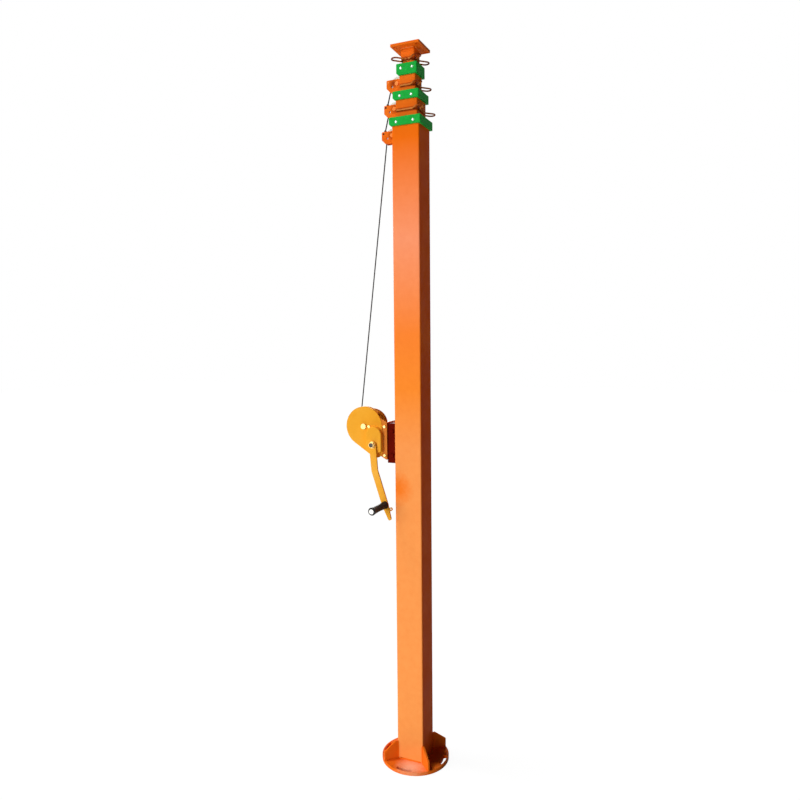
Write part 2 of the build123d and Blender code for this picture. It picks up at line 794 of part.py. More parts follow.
def gear_outline(teeth, first):
    """Involute gear outline with the middle of one tooth at an angle in radians."""
    pitch = gear_module * teeth / 2
    base = pitch * cos(radians(pressure_angle))
    tip = pitch + gear_addendum * gear_module
    root = pitch - gear_dedendum * gear_module
    involute = tan(radians(pressure_angle)) - radians(pressure_angle)
    half_tooth = pi / (2 * teeth) - tooth_backlash / (2 * pitch)
    low = max(base, root)
    flank = []
    for r in (low, (low + pitch) / 2, pitch, tip):
        lean = acos(min(1.0, base / r))
        flank.append((r, half_tooth + involute - tan(lean) + lean))
    points = []
    for k in range(teeth):
        middle = first + 2 * pi * k / teeth
        side = [(root, flank[0][1])] + flank if root < low else flank
        tooth = [(r, middle - a) for r, a in side] + [(r, middle + a) for r, a in reversed(side)]
        points += [(r * cos(a), r * sin(a)) for r, a in tooth]
    return make_face(Polyline(*points, close=True))


def drum_gear():
    """Large gear that is also the drum's front flange."""
    first = radians(gear_turn) + pi / gear_teeth
    face = gear_outline(gear_teeth, first) - Circle(drum_axle_radius + fit_gap)
    return slab(Pos(drum_x, drum_z) * face, gear_front, -drum_half)


def drive_shaft():
    """Shaft with the pinion cut on it, from the back cheek to the crank nut."""
    front = arm_front - crank_washer_thick - crank_nut_height
    body = rod_y(crank_x, crank_z, shaft_radius, front, plate_rear_out + frame_plate)
    teeth = gear_outline(pinion_teeth, radians(gear_turn) + pi)
    return body + slab(Pos(crank_x, crank_z) * teeth, gear_front - frame_front_gap / 2, -drum_half + frame_plate)


def ratchet_wheel():
    """Saw-toothed wheel of the load brake."""
    points = []
    for k in range(ratchet_teeth):
        turn = pi / 2 - 2 * pi * k / ratchet_teeth
        points.append((ratchet_root * cos(turn), ratchet_root * sin(turn)))
        points.append((ratchet_tip * cos(turn), ratchet_tip * sin(turn)))
    face = make_face(Polyline(*points, close=True)) - Circle(shaft_radius + fit_gap)
    return slab(Pos(crank_x, crank_z) * face, pawl_front, pawl_back)


def pawl():
    """Catch that drops behind a ratchet tooth and holds the load."""
    x, z = crank_x - pawl_out, crank_z + pawl_up
    tip_x = crank_x - pawl_tip_radius - pawl_gap
    tip_z = crank_z + ratchet_tip - pawl_tip_radius
    bar = disc_hull(x, z, pawl_radius, tip_x, tip_z, pawl_tip_radius)
    bar -= Pos(x, z) * Circle(pawl_pin_radius + fit_gap)
    return slab(bar, pawl_front, pawl_back)


def crank_arm():
    """Bent flat bar from the shaft to beyond the grip."""
    bend = crank_x + arm_bend[0], crank_z + arm_bend[1]
    grip_at = crank_x + arm_grip[0], crank_z + arm_grip[1]
    tip = crank_x + arm_tip[0], crank_z + arm_tip[1]
    eyelet = Pos(crank_x + arm_eyelet[0], crank_z + arm_eyelet[1])
    outline = disc_hull(crank_x, crank_z, arm_hub_radius, *bend, arm_half_width)
    outline += disc_hull(*bend, arm_half_width, *grip_at, arm_half_width)
    outline += disc_hull(*grip_at, arm_half_width, *tip, arm_tip_radius)
    outline += eyelet * Circle(arm_eyelet_radius)
    outline -= eyelet * Circle(arm_eyelet_bore)
    outline -= Pos(crank_x, crank_z) * Circle(shaft_radius + fit_gap)
    outline -= Pos(*grip_at) * Circle(spindle_radius + fit_gap)
    return slab(outline, arm_front, arm_back)


def crank_nut():
    """Washer and nut that hold the arm on the shaft."""
    washer_front = arm_front - crank_washer_thick
    nut = hex_y(crank_x, crank_z, crank_nut_across, washer_front - crank_nut_height, washer_front)
    nut += rod_y(crank_x, crank_z, crank_washer_radius, washer_front, arm_front)
    return nut - rod_y(crank_x, crank_z, shaft_radius + fit_gap, washer_front - crank_nut_height, arm_front)


grip_x, grip_z = crank_x + arm_grip[0], crank_z + arm_grip[1]
grip_back = arm_front - grip_gap
grip_front = grip_back - grip_length


def grip_spindle():
    """Pin through the arm that the grip turns on, with a cap at its free end."""
    pin = rod_y(grip_x, grip_z, spindle_radius, grip_front - fit_gap, arm_back)
    cap_back = grip_front - fit_gap
    cap = rod_y(grip_x, grip_z, spindle_cap_radius, cap_back - spindle_cap_height, cap_back)
    collar_ring = rod_y(grip_x, grip_z, spindle_cap_radius, grip_back + fit_gap, arm_front)
    return pin + cap + collar_ring


def grip():
    """Moulded handle with a flare at each end."""
    flare = grip_radius + grip_flare
    bore = spindle_radius + grip_bore_gap
    side = Spline((flare, 0), (grip_radius, grip_length / 2), (flare, grip_length))
    ends = Polyline((flare, grip_length), (bore, grip_length), (bore, 0), (flare, 0))
    body = revolve(make_face(side + ends), Axis.Y)
    return Pos(grip_x, grip_front, grip_z) * body


def head_socket():
    """Short square sleeve over the top of the inmost tube, welded under the head plate."""
    body = square(head_size, tube_corner, head_z, plate_z)
    return body - square(size(4), tube_corner - corner_ease, head_z, plate_z)


def top_plate():
    """Head plate with four bolt holes."""
    plate = RectangleRounded(plate_size, plate_size, plate_corner)
    for place in GridLocations(plate_hole_spacing, plate_hole_spacing, 2, 2):
        plate -= place * Circle(plate_hole_radius)
    return Pos(0, 0, plate_z) * extrude(plate, plate_thick)


os.makedirs("parts", exist_ok=True)

save("base_flange", base_flange())
save("base_gussets", *base_gussets())
save("outer_tube", tube(1))
for stage in (1, 2, 3):
    save(f"collar_{stage}", collar(stage))
    save(f"collar_{stage}_screws", *collar_screws(stage))
    save(f"bracket_{stage}", *bracket(stage))
    save(f"sheave_{stage}", sheave(stage))
    save(f"sheave_{stage}_axle", *sheave_axle(stage))
    save(f"rope_{stage}_inside", rope_inside(stage))
for stage in (2, 3, 4):
    save(f"tube_{stage}", tube(stage))
    save(f"shoe_{stage}", shoe(stage))
    save(f"rope_{stage - 1}_ferrule", ferrule(stage))
for stage in (2, 3):
    save(f"guy_eyes_{stage}", *stage_eyes(stage))
    save(f"rope_{stage}_socket", *rope_socket(stage))
    save(f"rope_{stage}_outside", rope_outside(stage))
    save(f"rope_{stage}_wrap", rope_wrap(stage, tangent_run(stage)[2]))
save("guy_eyes_4", *head_eyes())
save("head_socket", head_socket())
save("top_plate", top_plate())

save("rope_1_wrap", rope_wrap(1, winding_end))
save("rope_1_outside", rope_along(Line((winding_start[0], 0, winding_start[1]), (winding_end[0], 0, winding_end[1]))))
winding = winding_path()
save("rope_winding", rope_along(winding))
save("winch_mount", *winch_mount())
save("winch_bolts", *winch_bolts())
save("winch_frame", winch_frame())
save("gear_cover", gear_cover())
save("brake_cover", brake_cover())
save("cover_bolts", *cover_bolts())
save("drum_axle", *drum_axle())
save("winch_drum", winch_drum())
save("drum_gear", drum_gear())
save("drive_shaft", drive_shaft())
save("ratchet_wheel", ratchet_wheel())
save("pawl", pawl())
save("crank_arm", crank_arm())
save("crank_nut", crank_nut())
save("grip_spindle", grip_spindle())
save("grip", grip())

print(f"rope winding: least gap between loops {winding_least_gap(winding):.2f} mm")
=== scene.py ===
# %% [markdown]
# # A telescopic lifting pole
# Four square tubes slide one inside the other, and a hand winch raises them by wire rope. The packed
# CAD model is the frame: every piece here is in its metres and on its axes, and each new piece but the
# two short rope rises rides on one of its bodies, so the mast still rises when the bodies move. The CAD
# nodes whose shapes are right stay as they are and get finishes. The ropes are rebuilt with strands, the
# pulleys with broken edges and the collar screws with sockets, and the welds are added.

# %% Load the frame
import json

import bpy
import numpy as np
from mathutils import Matrix, Vector


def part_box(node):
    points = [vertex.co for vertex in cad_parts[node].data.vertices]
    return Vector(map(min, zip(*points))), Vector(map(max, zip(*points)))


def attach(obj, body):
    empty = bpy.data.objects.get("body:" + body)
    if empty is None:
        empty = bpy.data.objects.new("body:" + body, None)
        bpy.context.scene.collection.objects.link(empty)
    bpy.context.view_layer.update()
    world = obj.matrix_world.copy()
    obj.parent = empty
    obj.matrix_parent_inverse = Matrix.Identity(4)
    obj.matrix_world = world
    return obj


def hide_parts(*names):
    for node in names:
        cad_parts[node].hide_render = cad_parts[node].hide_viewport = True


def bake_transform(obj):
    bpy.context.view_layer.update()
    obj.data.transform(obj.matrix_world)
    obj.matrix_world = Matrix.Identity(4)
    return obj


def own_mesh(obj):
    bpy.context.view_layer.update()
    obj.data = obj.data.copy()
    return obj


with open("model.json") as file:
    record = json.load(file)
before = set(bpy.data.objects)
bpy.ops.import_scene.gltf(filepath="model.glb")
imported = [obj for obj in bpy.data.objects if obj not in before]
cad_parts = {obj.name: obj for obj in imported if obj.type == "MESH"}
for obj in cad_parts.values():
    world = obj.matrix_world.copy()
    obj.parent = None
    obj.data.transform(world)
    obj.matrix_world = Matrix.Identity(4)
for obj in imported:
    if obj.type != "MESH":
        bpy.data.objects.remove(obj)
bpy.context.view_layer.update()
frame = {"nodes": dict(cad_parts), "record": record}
nodes = frame["nodes"]
MM = 0.001

# %% [markdown]
# ## Camera
# The photograph was taken from about 2.5 m away and 1.5 m up, which is why the mast's edges run
# together towards the floor. A camera is set by where it stands, where it looks and its focal length.
# It could be moved by eye until the picture fits, but these numbers came from lining up the mast's
# corners with a plain pinhole camera, which is surer.

# %% Camera
camera_azimuth = np.radians(22.79)
camera_away = 2.5028
camera_height = 1.5247
camera_turn = np.radians(1.05)
camera_pitch = np.radians(4.72)
camera_roll = np.radians(-0.52)
focal_pixels = 710.09
picture_pixels = 800
sensor_mm = 36.0


def camera_axes(turn, pitch, roll):
    """Forward is the heading tipped down by the pitch; right and up are square to it, then rolled."""
    level = np.array([-np.sin(turn), np.cos(turn), 0.0])
    right = np.array([np.cos(turn), np.sin(turn), 0.0])
    forward = level * np.cos(pitch) - np.array([0, 0, np.sin(pitch)])
    up = np.cross(right, forward)
    rolled_right = right * np.cos(roll) + up * np.sin(roll)
    rolled_up = up * np.cos(roll) - right * np.sin(roll)
    return rolled_right, rolled_up, forward


cam_data = bpy.data.cameras.new("camera")
cam = bpy.data.objects.new("camera", cam_data)
bpy.context.scene.collection.objects.link(cam)
right, up, forward = camera_axes(camera_azimuth + camera_turn, camera_pitch, camera_roll)
cam.matrix_world = Matrix.Translation(
    (np.sin(camera_azimuth) * camera_away, -np.cos(camera_azimuth) * camera_away, camera_height)
) @ Matrix([right, up, -forward]).transposed().to_4x4()
cam_data.sensor_width = sensor_mm
cam_data.lens = focal_pixels / picture_pixels * sensor_mm
bpy.context.scene.camera = cam
print("camera lens", round(cam_data.lens, 2), "mm")

# %% [markdown]
# ## Helpers for materials
# Colours are written as they look on a screen, in sRGB, and shaders want linear light, so one
# function converts. A finish is a chain of nodes, and each could be drawn by hand in the shader
# editor. Here one function adds a node, sets it and links it, which keeps each finish short.

# %% Material helpers
noise_low, noise_high = 0.3, 0.7  # a noise texture seldom leaves this range


def linear(colour):
    """sRGB hex to linear RGBA: c / 12.92 in the darks, ((c + 0.055) / 1.055) ** 2.4 above them."""
    c = np.array([int(colour[i : i + 2], 16) for i in (1, 3, 5)]) / 255
    c = np.where(c <= 0.04045, c / 12.92, ((c + 0.055) / 1.055) ** 2.4)
    return (*c.tolist(), 1.0)


def per_mm(size):
    """Texture scale, in features per metre, for a feature of this many millimetres."""
    return 1 / (size * MM)


def fill(tree, node, inputs):
    """Fills a node's inputs, by name or in order: values are set, sockets and nodes' first outputs linked."""
    for key, value in inputs.items() if isinstance(inputs, dict) else enumerate(inputs):
        if isinstance(value, bpy.types.Node):
            value = value.outputs[0]
        if isinstance(value, bpy.types.NodeSocket):
            tree.links.new(value, node.inputs[key])
        else:
            node.inputs[key].default_value = value


def add(tree, kind, inputs=(), stops=(), **settings):
    """Adds a shader node, sets its properties, gives a ramp its (place, hex) stops, and fills its inputs."""
    node = tree.nodes.new("ShaderNode" + kind)
    for key, value in settings.items():
        setattr(node, key, value)
    if stops:
        row = node.color_ramp.elements
        row[0].position, row[1].position = stops[0][0], stops[-1][0]
        for place, _ in stops[1:-1]:
            row.new(place)
        for element, (_, colour) in zip(row, stops):
            element.color = linear(colour)
    fill(tree, node, inputs)
    return node


def start_finish(name):
    """A new material: its tree, its Principled shader and the Object coordinates."""
    material = bpy.data.materials.new(name)
    material.use_nodes = True
    tree = material.node_tree
    tree.nodes.clear()
    shader = add(tree, "BsdfPrincipled")
    add(tree, "OutputMaterial", (shader,))
    return material, tree, shader, add(tree, "TexCoord").outputs["Object"]


print("white in linear light:", linear("#FFFFFF"))

# %% [markdown]
# ## Finishes
# Powder coat is a plastic skin baked onto steel. It has a fine orange peel, a soft sheen, and slow
# cloudy changes of colour where it lies thicker. The peel is about 2 mm across and too shallow to
# see from far away, so it is a bump, and the clouds are noise about a hand's span across. Some coats
# also have light and shade painted in. Each is a mask that mixes in a second colour: a painted sheen
# goes by height, a patch of painted light or shade is an oval with a ragged edge, and painted shade
# lies in a band along a rod.

# %% Painted steel
cloud_mm, sheen_patches_mm, grit_mm, sheen_mm = 180, 24, 12, 60
cloud_places = (0.30, 0.52, 0.74)
peel_depth = 0.4 * MM
# Shares of the marks, which are painted light and shade: the painted sheen, an oval of painted light or
# shade, and a band of painted shade.
painted_sheen_least, painted_sheen_most, oval_tone_most, painted_shade_band_most = 0.80, 0.96, 0.9, 0.85
front_edge = (-0.9, -0.3)  # the Y of a face's normal where the painted sheen is full, and where it ends
oval_tone_edge = (0.7, 1.6)  # half sizes from an oval's middle, with the grit added: full, and ended
painted_shade_band_edge = (1.5 * MM, 6.5 * MM)  # past the rod, up and down: full, and ended


def painted_steel(name, tones, roughness=0.40, peel_mm=2.4, painted_sheen=(), painted_light_oval=(), painted_shade_band=()):
    """Paint on steel: cloudy colour and orange peel. Three marks are painted light and shade: a painted
    sheen on the front, as (height in m, hex) stops; an oval of painted light or shade, as its middle, its
    half sizes and its hex colour; and a band of painted shade along a rod, as its lowest and highest level
    and its hex colour."""
    material, tree, shader, where = start_finish(name)
    cloud = add(tree, "TexNoise",
                {"Vector": where, "Scale": per_mm(cloud_mm), "Detail": 5, "Roughness": 0.62})
    colour = add(tree, "ValToRGB", (cloud,), stops=list(zip(cloud_places, tones)))
    # Painted sheen: front faces are mixed towards paler tones by height, in patches, as reflected light
    # painted into the colour.
    if painted_sheen:
        foot, head = painted_sheen[0][0], painted_sheen[-1][0]
        height = add(tree, "SeparateXYZ", (where,)).outputs["Z"]
        up = add(tree, "MapRange", (height, foot, head, 0.0, 1.0))
        tone = add(tree, "ValToRGB", (up,), stops=[((z - foot) / (head - foot), hue) for z, hue in painted_sheen])
        sheen_patches = add(tree, "TexNoise",
                   {"Vector": where, "Scale": per_mm(sheen_patches_mm), "Detail": 6, "Roughness": 0.7})
        share = add(tree, "MapRange", (sheen_patches, noise_low, noise_high, painted_sheen_least, painted_sheen_most))
        facing = add(tree, "SeparateXYZ", (add(tree, "TexCoord").outputs["Normal"],)).outputs["Y"]
        front = add(tree, "MapRange", (facing, *front_edge, 1.0, 0.0))
        share = add(tree, "Math", (share, front), operation="MULTIPLY")
        colour = add(tree, "MixRGB", (share, colour, tone))
    # An oval of painted light or shade with a ragged edge, mixed towards its own colour.
    if painted_light_oval:
        centre, halves, oval_tone = painted_light_oval
        offset = add(tree, "VectorMath", (where, centre), operation="SUBTRACT")
        oval = add(tree, "VectorMath", (offset, halves), operation="DIVIDE")
        far = add(tree, "VectorMath", (oval,), operation="LENGTH").outputs["Value"]
        grit = add(tree, "TexNoise",
                   {"Vector": where, "Scale": per_mm(grit_mm), "Detail": 6, "Roughness": 0.7})
        ragged = add(tree, "Math", (far, grit), operation="ADD")
        share = add(tree, "MapRange", (ragged, *oval_tone_edge, oval_tone_most, 0.0))
        colour = add(tree, "MixRGB", (share, colour, linear(oval_tone)))
    # A band of painted shade above and below a rod's level.
    if painted_shade_band:
        low, high, shade_tone = painted_shade_band
        height = add(tree, "SeparateXYZ", (where,)).outputs["Z"]
        away = add(tree, "Math", (height, (low + high) / 2), operation="SUBTRACT")
        away = add(tree, "Math", (away,), operation="ABSOLUTE")
        near, far = [(high - low) / 2 + edge for edge in painted_shade_band_edge]
        share = add(tree, "MapRange", (away, near, far, painted_shade_band_most, 0.0))
        colour = add(tree, "MixRGB", (share, colour, linear(shade_tone)))
    peel = add(tree, "TexNoise", {"Vector": where, "Scale": per_mm(peel_mm), "Detail": 2, "Roughness": 0.45})
    bump = add(tree, "Bump", {"Height": peel, "Strength": 0.16, "Distance": peel_depth})
    sheen = add(tree, "TexNoise", {"Vector": where, "Scale": per_mm(sheen_mm), "Detail": 4})
    rough = add(tree, "MapRange", (sheen, noise_low, noise_high, roughness - 0.05, roughness + 0.07))
    fill(tree, shader, {"Base Color": colour, "Roughness": rough, "Normal": bump, "Specular IOR Level": 0.01})
    return material


orange_tones = ("#E4660F", "#EE6F18", "#F47C26")
orange_coat = painted_steel("orange_powder_coat", orange_tones)
# The paler coat is a painted highlight, for beads and bolt heads that stand proud.
painted_highlight_coat = painted_steel("highlight_orange_powder_coat", ("#F28436", "#F79047", "#FBA05C"))
maroon_paint = painted_steel("red_oxide_paint", ("#580A02", "#650E03", "#701406"), 0.46, 2.8)
golden_paint = painted_steel("golden_enamel", ("#EE9F22", "#F5AB32", "#F9B749"), 0.38, 2.2)
# A deeper, redder copy of the golden enamel: painted shade on the winch frame.
painted_shade_enamel = painted_steel("shaded_golden_enamel", ("#D67A2C", "#DF8434", "#E68F40"), 0.38, 2.2)
print("paints:", [m.name for m in (orange_coat, painted_highlight_coat, maroon_paint, golden_paint, painted_shade_enamel)])

# %% [markdown]
# Several pieces have light and shade painted into their coat. The outer tube's front has a painted sheen,
# palest towards the foot, which leaves out a patch beside the crank. The foot plate has a pale painted
# reflection of the tube in front of it. Painted shade lies in bands along the rods on the moving stages, the
# rods are darker away from the tube with a painted highlight on their legs, and the pulleys' bolts have a
# painted highlight ringed by painted shade. One coat with a long list of marks could serve them all, but
# marks are easier to place piece by piece, and the boxes of the rods and the bolts say where most of them
# lie.

# %% Coats with painted light and shade
# The brown is painted shade, in bands along the rods and in ovals round the pulleys' bolts. The last number
# sizes the painted highlight on the rods' legs.
painted_shade_brown = "#8A2C06"
painted_shade_halves = (0.018, 0.080, 0.018)
eye_highlight_reach = 1.7  # in half diagonals of the tube
coat_of = {
    "winch_frame": painted_shade_enamel,
    # The outer tube: a painted sheen on its front, and an oval beside the crank mixed back to a deeper
    # orange, without that sheen.
    "outer_tube": painted_steel(
        "painted_sheen_orange_powder_coat", ("#E05406", "#E95D0A", "#F06A14"),
        painted_sheen=((0.1, "#FFA255"), (1.15, "#FFA358"), (1.36, "#FF9130"), (1.55, "#FE8934"),
               (1.87, "#FE9E72"), (2.04, "#FB8C50"), (2.21, "#F4710C")),
        painted_light_oval=((-0.036, -0.050, 1.008), (0.052, 0.030, 0.060), "#FB7A1C")),
    # The foot plate: a pale oval in front of the tube, a painted reflection of the tube.
    "base_flange": painted_steel(
        "reflection_orange_powder_coat", orange_tones,
        painted_light_oval=((0.018, -0.086, 0.012), (0.058, 0.050, 0.026), "#FFBE9A")),
}
for n, carrier in ((2, "tube_2"), (3, "tube_3"), (4, "head_socket")):
    low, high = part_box(f"guy_eyes_{n}")
    # Painted shade: a brown band along the level of this stage's rods.
    coat_of[carrier] = painted_steel(f"shade_band_orange_powder_coat_{n}", orange_tones,
                                     painted_shade_band=(low.z, high.z, painted_shade_brown))
    # The rods are darker away from the tube, and a pale orange oval round the tube is a painted highlight on
    # their legs.
    reach = eye_highlight_reach * np.sqrt(2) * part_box(carrier)[1].x
    coat_of[f"guy_eyes_{n}"] = painted_steel(
        f"highlighted_legs_orange_powder_coat_{n}", ("#6A2004", "#762706", "#842F08"),
        painted_light_oval=((0, 0, (low.z + high.z) / 2), (reach, reach, reach), "#FFA050"))
# The pulleys' bolt heads take the paler coat, a painted highlight, and on each bracket an oval of painted
# shade rings the bolt.
for n in (1, 2, 3):
    low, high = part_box(f"sheave_{n}_axle")
    coat_of[f"sheave_{n}_axle"] = painted_highlight_coat
    coat_of[f"bracket_{n}"] = painted_steel(f"shade_ring_orange_powder_coat_{n}", orange_tones,
                                            painted_light_oval=(tuple((low + high) / 2), painted_shade_halves, painted_shade_brown))
print("pieces with a coat of their own:", len(coat_of))

# %% [markdown]
# Nylon that has been cut from slab stock keeps faint parallel cutter marks and a low, waxy sheen. The
# marks could be cut into the mesh, but they are far too shallow to change its outline, so they are a
# wave in the bump. It is drawn 7.5 mm from crest to crest, because real ones are too fine to show.

# %% Machined nylon
nylon_grain_mm = 9
cutter_mm = 7.54
wave_bands = 20 / (2 * np.pi)  # a wave texture has this many bands to a unit at scale 1


def machined_nylon(name, deep, pale):
    """Nylon cut from slab: even colour, cutter marks, waxy sheen."""
    material, tree, shader, where = start_finish(name)
    grain = add(tree, "TexNoise",
                {"Vector": where, "Scale": per_mm(nylon_grain_mm), "Detail": 5, "Roughness": 0.6})
    colour = add(tree, "ValToRGB", (grain,), stops=((noise_low, deep), (noise_high, pale)))
    marks = add(tree, "TexWave",
                {"Vector": where, "Scale": per_mm(cutter_mm) / wave_bands, "Distortion": 1.2, "Detail": 2},
                bands_direction="Z")
    bump = add(tree, "Bump", {"Height": marks.outputs["Fac"], "Strength": 0.10, "Distance": 0.3 * MM})
    rough = add(tree, "MapRange", (grain, noise_low, noise_high, 0.40, 0.52))
    fill(tree, shader, {"Base Color": colour, "Roughness": rough, "Normal": bump, "Specular IOR Level": 0.02})
    return material


green_nylon = machined_nylon("green_cast_nylon", "#15A136", "#21B346")
white_nylon = machined_nylon("natural_cast_nylon", "#DAD6CA", "#E6E2D8")
print("nylons:", green_nylon.name, white_nylon.name)

# %% [markdown]
# Zinc plate is a bright metal with small cloudy patches. The collar screws have the bluish kind, and
# the winch's own fasteners the yellow one. Wire rope is galvanised but oily, so it is darker, and oil
# has made the short runs by the pulleys almost black. Gears are cut steel with a film of oil, and the
# shaft is blackened. One function makes them all, since they differ only in tone, gloss and patches.

# %% Metals


def plated_metal(name, dark, light, roughness, patch_mm):
    """Metal whose tone and roughness vary in patches of a given size."""
    material, tree, shader, where = start_finish(name)
    patch = add(tree, "TexNoise",
                {"Vector": where, "Scale": per_mm(patch_mm), "Detail": 6, "Roughness": 0.65})
    colour = add(tree, "ValToRGB", (patch,), stops=((0.32, dark), (0.68, light)))
    rough = add(tree, "MapRange", (patch, noise_low, noise_high, roughness + 0.08, roughness - 0.06))
    bump = add(tree, "Bump", {"Height": patch, "Strength": 0.08, "Distance": 0.3 * MM})
    fill(tree, shader, {"Base Color": colour, "Roughness": rough, "Normal": bump, "Metallic": 1.0})
    return material


zinc_plate = plated_metal("zinc_plated_steel", "#CFCDC5", "#ECEAE4", 0.32, 5)
screw_zinc = plated_metal("blue_passivated_zinc", "#9DAFA2", "#C3D2C6", 0.36, 3)
gold_zinc = plated_metal("yellow_passivated_zinc", "#BF9C58", "#E4C88C", 0.38, 4)
rope_steel = plated_metal("galvanised_wire", "#1F1D1C", "#42403B", 0.46, 3)
oiled_rope = plated_metal("oiled_wire", "#0A0909", "#191715", 0.50, 3)
gear_steel = plated_metal("oiled_cut_steel", "#6B665E", "#9B958A", 0.34, 7)
shaft_steel = plated_metal("blackened_steel", "#2E2B29", "#57524C", 0.40, 4)
coat_of["drive_shaft"] = shaft_steel
for n in (2, 3):
    coat_of[f"rope_{n}_socket"] = oiled_rope
metals = (zinc_plate, screw_zinc, gold_zinc, rope_steel, oiled_rope, gear_steel, shaft_steel)
print("metals:", [m.name for m in metals])

# %% [markdown]
# The handle is moulded from a tough black plastic. Its mould was etched, so it has a fine grain of
# small cells, which a bump gives. The cells are drawn 0.9 mm across, because the real ones are too
# fine to show.

# %% Moulded handle
wear_mm = 30


def moulded_plastic(name, deep, pale, grain_mm):
    """Black moulding with an etched grain and worn, shinier patches."""
    material, tree, shader, where = start_finish(name)
    worn = add(tree, "TexNoise", {"Vector": where, "Scale": per_mm(wear_mm), "Detail": 4})
    colour = add(tree, "ValToRGB", (worn,), stops=((0.35, deep), (0.70, pale)))
    grain = add(tree, "TexVoronoi", {"Vector": where, "Scale": per_mm(grain_mm)})
    bump = add(tree, "Bump", {"Height": grain, "Strength": 0.25, "Distance": 0.2 * MM})
    rough = add(tree, "MapRange", (worn, noise_low, noise_high, 0.55, 0.42))
    fill(tree, shader, {"Base Color": colour, "Roughness": rough, "Normal": bump, "Specular IOR Level": 0.12})
    return material


black_moulding = moulded_plastic("black_polypropylene", "#0E0E0F", "#1A1A1B", 0.9)
print("plastic:", black_moulding.name)

# %% [markdown]
# Each CAD node names a material slot, and each slot has its finish here. A node with a coat of its own
# takes that one. Only the slot's material changes, so the nodes' meshes stay as they were packed.

# %% Finishes on the CAD nodes
finish_of = {
    "orange_paint": orange_coat, "maroon_paint": maroon_paint, "yellow_paint": golden_paint,
    "green_nylon": green_nylon, "white_nylon": white_nylon, "zinc_steel": zinc_plate,
    "gold_zinc": gold_zinc, "wire_rope": rope_steel, "gear_steel": gear_steel,
    "black_plastic": black_moulding,
}
for entry in frame["record"]["subparts"]:
    mesh = nodes[entry["node"]].data
    mesh.materials.clear()
    mesh.materials.append(coat_of.get(entry["node"], finish_of[entry["material_slot"]]))
print("finishes:", len(finish_of), "by slot and", len(coat_of), "by node")

# %% [markdown]
# ## Meshes from grids
# Every new piece is made of tubes: rings of points carried along a line. A curve with a round bevel
# would make plain tubes, but not weld beads, pulleys or sockets. The points are one array of rows (along
# the line) by columns (round the ring), so the faces follow from counting.

# %% Grid helpers


def ring_faces(rows, columns, loop):
    """Quads of a closed tube: each point with its neighbour round the ring and the next ring. In a loop,
    the ring after the last is the first."""
    at = np.arange(rows * columns).reshape(rows, columns)
    beside = np.roll(at, -1, axis=1)
    quads = np.stack([at, beside, np.roll(beside, -1, axis=0), np.roll(at, -1, axis=0)], axis=-1)
    return (quads if loop else quads[:-1]).reshape(-1, 4)


def tubes_piece(name, tubes, body, slot, loop=False):
    """One mesh from tubes in millimetres, each an array (rows, columns, 3): capped, or joined in a loop."""
    points, faces, count = [], [], 0
    for grid in tubes:
        rows, columns = grid.shape[:2]
        points.append(grid.reshape(-1, 3))
        faces += (ring_faces(rows, columns, loop) + count).tolist()
        if not loop:
            faces.append(list(range(count + columns - 1, count - 1, -1)))
            faces.append(list(range(count + (rows - 1) * columns, count + rows * columns)))
        count += rows * columns
    mesh = bpy.data.meshes.new(name)
    mesh.from_pydata((np.concatenate(points) * MM).tolist(), [], faces)
    mesh.polygons.foreach_set("use_smooth", [True] * len(mesh.polygons))
    mesh.materials.append(finish_of[slot])
    mesh.update()
    piece = bpy.data.objects.new(name, mesh)
    bpy.context.scene.collection.objects.link(piece)
    if body:
        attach(piece, body)
    return piece


def unit(v):
    """Vectors divided by their lengths."""
    return v / np.linalg.norm(v, axis=-1, keepdims=True)


def square_to(line, side):
    """Two directions square to a line at each point: u, as near to side as it can be, and v = along x u."""
    along = unit(np.gradient(line, axis=0))
    u = unit(side - np.sum(side * along, axis=-1, keepdims=True) * along)
    return u, np.cross(along, u)


def distance_along(line):
    """How far each point is along a line, from the first: the sum of the steps so far."""
    return np.concatenate([[0], np.cumsum(np.linalg.norm(np.diff(line, axis=0), axis=1))])


def rings(line, side, radius, columns):
    """Circles square to a line: P + r (u cos a + v sin a)."""
    u, v = square_to(line, side)
    a = np.linspace(0, 2 * np.pi, columns, endpoint=False)[None, :, None]
    return line[:, None] + radius * (u[:, None] * np.cos(a) + v[:, None] * np.sin(a))


print("faces of a tube of 3 rings of 4 points:", len(ring_faces(3, 4, loop=False)))

# %% [markdown]
# ## Wire ropes
# A wire rope is six strands laid round a core. A smooth tube with a striped bump would do from afar,
# but the strands give a rope its edge, so they are helices round its route. The route is a smooth
# spline, and the rope's own diameter is the circle round the strands. Routes over a pulley have their
# control points on the polygon that touches the pulley's pitch circle.

# %% Rope helpers
rope_radius = 2.25
rope_lay = 26.0
core_share = 0.55
strand_count = 6
strand_columns = 7
spline_steps = 24
arc_step = np.radians(30)


def route(controls, spacing):
    """Points about every spacing mm along a smooth NURBS spline with these control points."""
    curve = bpy.data.curves.new("route", "CURVE")
    curve.dimensions = "3D"
    spline = curve.splines.new("NURBS")
    controls = np.asarray(controls, float)
    spline.points.add(len(controls) - 1)
    spline.points.foreach_set("co", np.column_stack([controls, np.ones(len(controls))]).ravel())
    spline.order_u = 3
    spline.use_endpoint_u = True
    curve.resolution_u = spline_steps
    holder = bpy.data.objects.new("route", curve)
    mesh = bpy.data.meshes.new_from_object(holder)
    points = np.empty(len(mesh.vertices) * 3)
    mesh.vertices.foreach_get("co", points)
    points = points.reshape(-1, 3)
    bpy.data.objects.remove(holder)
    bpy.data.curves.remove(curve)
    bpy.data.meshes.remove(mesh)
    run = distance_along(points)
    even = np.linspace(0, run[-1], max(3, int(run[-1] / spacing)))
    return np.column_stack([np.interp(even, run, points[:, k]) for k in range(3)]), run[-1]


